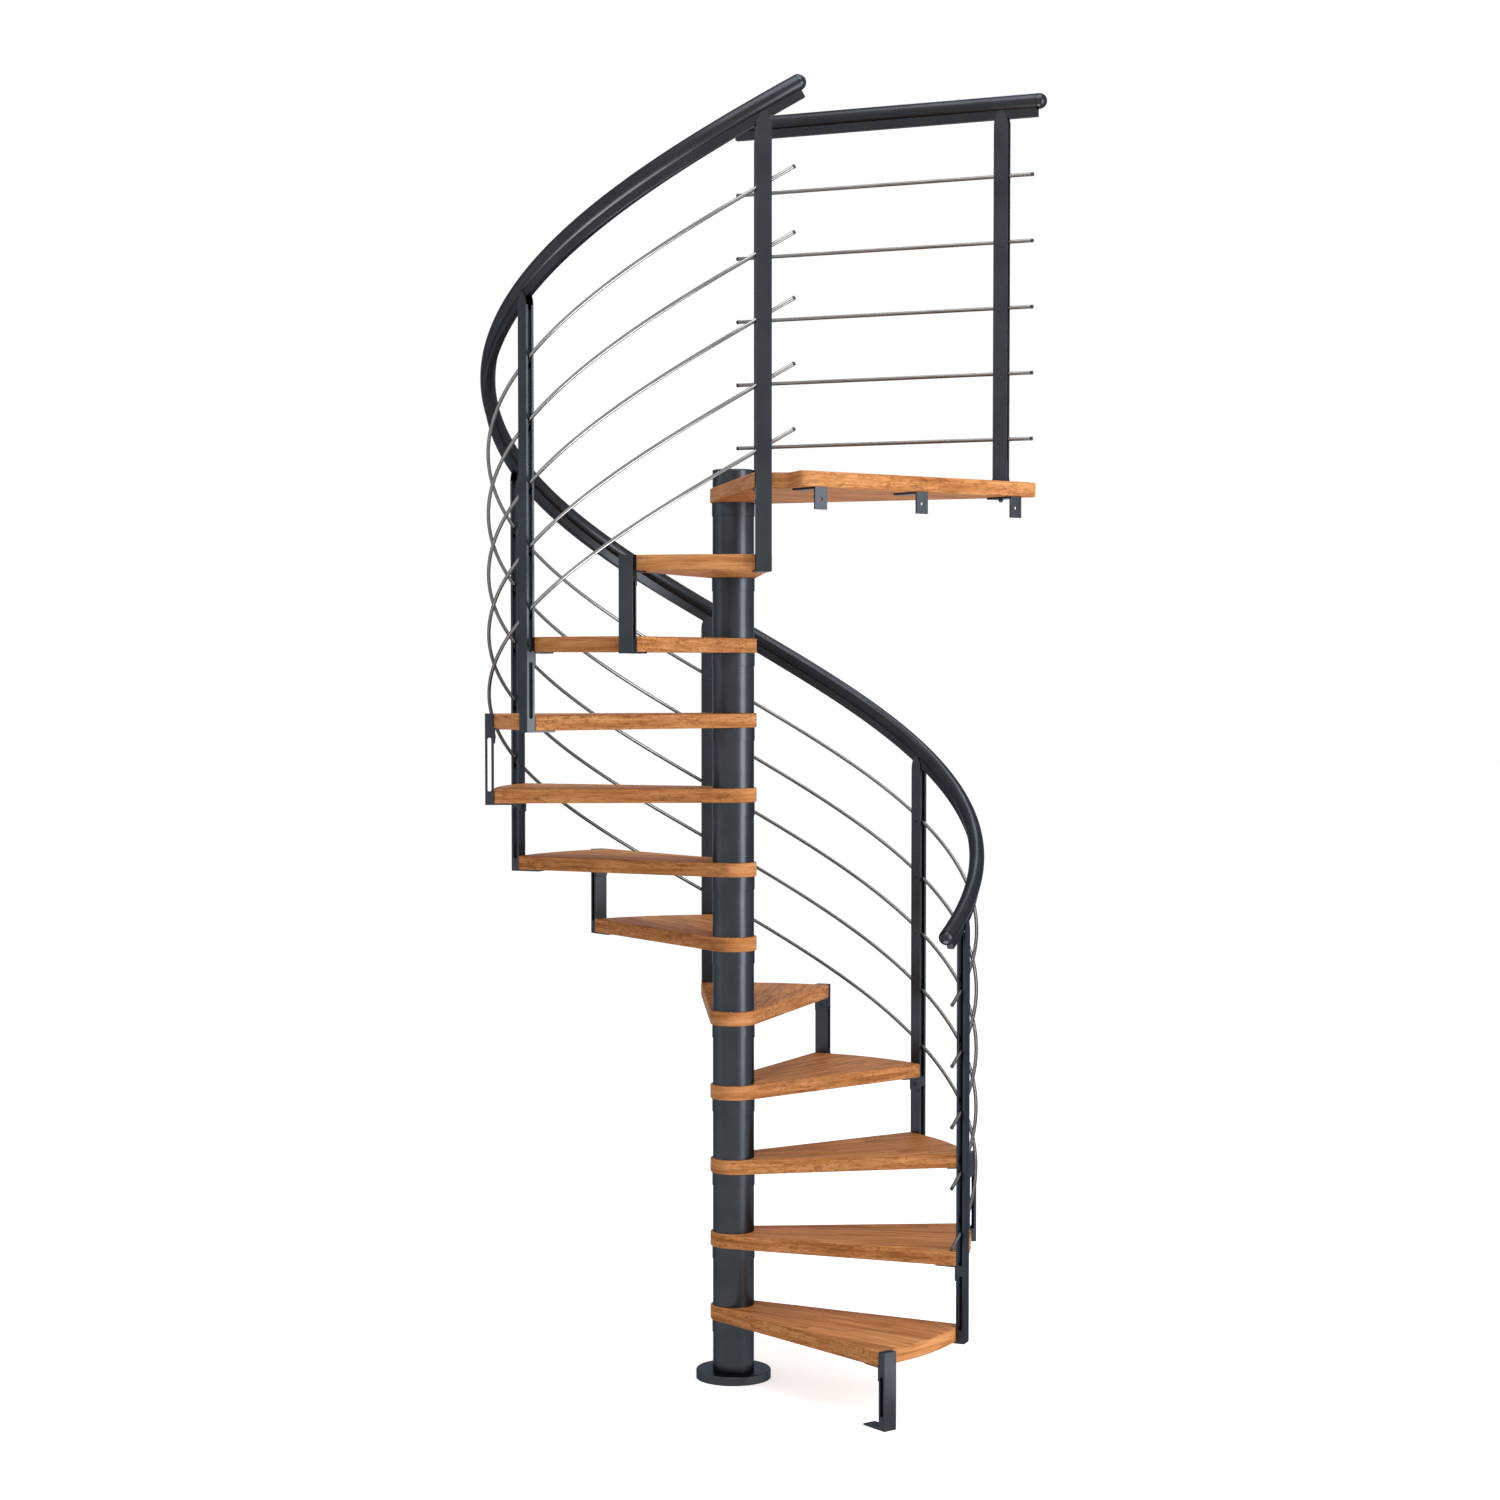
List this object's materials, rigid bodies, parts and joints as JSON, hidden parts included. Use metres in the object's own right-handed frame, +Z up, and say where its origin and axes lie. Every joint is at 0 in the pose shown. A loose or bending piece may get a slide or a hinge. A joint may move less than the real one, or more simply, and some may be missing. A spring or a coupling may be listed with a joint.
{
  "type": "spiral staircase",
  "caption": "Spiral staircase with a steel centre column, oak treads on slotted side brackets, a helical handrail over bent rods and a railed landing at the top.",
  "frame": {"origin": "on the column's axis, on the floor under the base flange", "axes": "+Z up along the column; -Y towards the landing's front edge, which meets the upper floor"},
  "size_m": [1.4, 1.4431, 3.527],
  "materials": {
    "steel": "satin",
    "handrail": "satin",
    "end_caps": "satin",
    "oak": "oiled",
    "stainless": "brushed"
  },
  "bodies": {
    "root": {"base_flange": "steel", "centre_post": "steel", "column_sleeves": "steel", "column_rings": "steel", "column_cap": "steel", "tread_01": "oak", "tread_02": "oak", "tread_03": "oak", "tread_04": "oak", "tread_05": "oak", "tread_06": "oak", "tread_07": "oak", "tread_08": "oak", "tread_09": "oak", "tread_10": "oak", "tread_11": "oak", "landing": "oak", "bracket_00": "steel", "bracket_02": "steel", "bracket_04": "steel", "bracket_06": "steel", "bracket_08": "steel", "bracket_10": "steel", "post_01": "steel", "post_03": "steel", "post_05": "steel", "post_07": "steel", "post_09": "steel", "post_11": "steel", "tread_angles": "steel", "handrail": "handrail", "handrail_caps": "end_caps", "rod_1": "stainless", "rod_2": "stainless", "rod_3": "stainless", "rod_4": "stainless", "rod_5": "stainless", "landing_post_inner": "steel", "landing_post_outer": "steel", "landing_handrail": "handrail", "landing_handrail_caps": "end_caps", "landing_rods": "stainless", "landing_brackets": "steel"}
  },
  "joints": []
}
